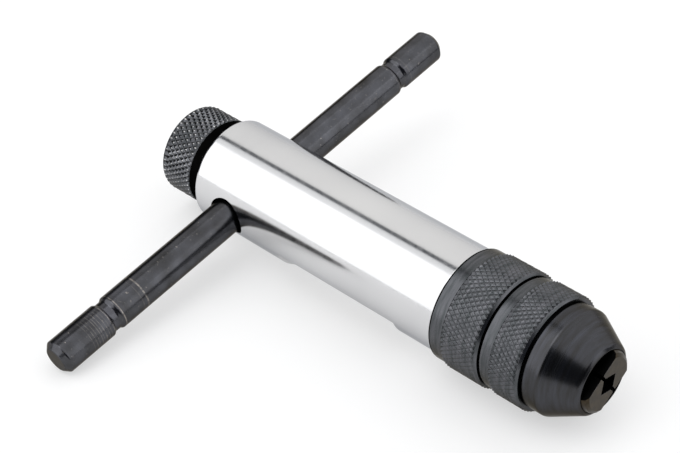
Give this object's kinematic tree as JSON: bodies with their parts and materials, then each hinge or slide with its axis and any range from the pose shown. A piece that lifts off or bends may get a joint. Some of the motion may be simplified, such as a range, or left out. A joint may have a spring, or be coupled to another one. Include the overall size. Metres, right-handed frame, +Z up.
{
  "type": "ratchet tap wrench",
  "caption": "Ratchet tap wrench: chromed barrel with reversing knob, sliding cross handle and a knurled two-jaw chuck for square tap shanks.",
  "frame": {"origin": "centre of the selector knob's flat end face, on the spindle axis", "axes": "+X along the spindle towards the jaws, +Z up as the tool lies on a bench, +Y towards the raised end of the cross handle"},
  "size_m": [0.0891, 0.0891, 0.0198],
  "materials": {
    "polished_chrome": "polished chrome plate",
    "handle_black_oxide": "satin black oxide",
    "knurled_black": "black oxide over diamond knurl and turned bands",
    "turned_black": "black oxide over turning marks",
    "jaw_steel": "oil-blackened hardened steel",
    "hardened_steel": "ground hardened steel",
    "bright_steel": "bright drawn steel",
    "spring_steel": "drawn spring wire",
    "bronze": "turned bearing bronze"
  },
  "bodies": {
    "barrel": {"barrel": "polished_chrome", "pawl_pin_near": "bright_steel", "pawl_pin_far": "bright_steel", "thrust_washer": "bright_steel", "front_bush": "bronze"},
    "handle": {"sliding_handle": "handle_black_oxide"},
    "selector": {"knob": "knurled_black", "knob_pin": "bright_steel", "selector_sleeve": "hardened_steel", "selector_detent_ball": "bright_steel", "selector_detent_spring": "spring_steel", "handle_detent_ball": "bright_steel", "handle_detent_spring": "spring_steel"},
    "near_pawl": {"pawl_near": "hardened_steel", "pawl_spring_near": "spring_steel"},
    "far_pawl": {"pawl_far": "hardened_steel", "pawl_spring_far": "spring_steel"},
    "spindle": {"spindle": "knurled_black", "ratchet_wheel": "hardened_steel", "ratchet_pin": "bright_steel", "jaw_spring": "spring_steel"},
    "nose": {"nose_cone": "turned_black", "nose_retaining_ring": "spring_steel"},
    "sleeve": {"chuck_sleeve": "knurled_black"},
    "upper_jaw": {"jaw_upper": "jaw_steel"},
    "lower_jaw": {"jaw_lower": "jaw_steel"}
  },
  "joints": [
    {"name": "handle_slide", "type": "slide", "parent": "barrel", "child": "handle", "axis": [0, 0.9885, 0.1512], "range_m": [-0.0324, 0.0356]},
    {"name": "selector_turn", "type": "hinge", "parent": "barrel", "child": "selector", "pos_m": [0.0108, 0, 0], "axis": [1, 0, 0], "range_deg": [-50, 0]},
    {"name": "near_pawl_rock", "type": "hinge", "parent": "barrel", "child": "near_pawl", "pos_m": [0.0327, -0.00546, -0.00438], "axis": [0, -0.6252, 0.7804], "range_deg": [-4.6, 0], "deforming": ["pawl_spring_near"]},
    {"name": "far_pawl_rock", "type": "hinge", "parent": "barrel", "child": "far_pawl", "pos_m": [0.0327, 0.00652, -0.00254], "axis": [0, -0.3633, -0.9317], "range_deg": [0, 4.6], "deforming": ["pawl_spring_far"]},
    {"name": "spindle_turn", "type": "hinge", "parent": "barrel", "child": "spindle", "pos_m": [0.0576, 0, 0], "axis": [1, 0, 0], "continuous": true},
    {"name": "nose_advance", "type": "slide", "parent": "spindle", "child": "nose", "axis": [1, 0, 0], "range_m": [0, 0.00451]},
    {"name": "sleeve_turn", "type": "hinge", "parent": "nose", "child": "sleeve", "pos_m": [0.076, 0, 0], "axis": [1, 0, 0], "range_deg": [0, 1080]},
    {"name": "upper_jaw_open", "type": "slide", "parent": "spindle", "child": "upper_jaw", "axis": [0, 0.8415, 0.5402], "range_m": [0, 0.00165], "deforming": ["jaw_spring"]},
    {"name": "lower_jaw_open", "type": "slide", "parent": "spindle", "child": "lower_jaw", "axis": [0, -0.8415, -0.5402], "range_m": [0, 0.00165]}
  ],
  "couplings": [
    {"joint": "near_pawl_rock", "follows": "selector_turn", "ratio": 0.08},
    {"joint": "far_pawl_rock", "follows": "selector_turn", "ratio": -0.08},
    {"joint": "nose_advance", "follows": "sleeve_turn", "m_per_rad": 0.00023873},
    {"joint": "upper_jaw_open", "follows": "sleeve_turn", "m_per_rad": 0.000086891},
    {"joint": "lower_jaw_open", "follows": "sleeve_turn", "m_per_rad": 0.000086891}
  ]
}
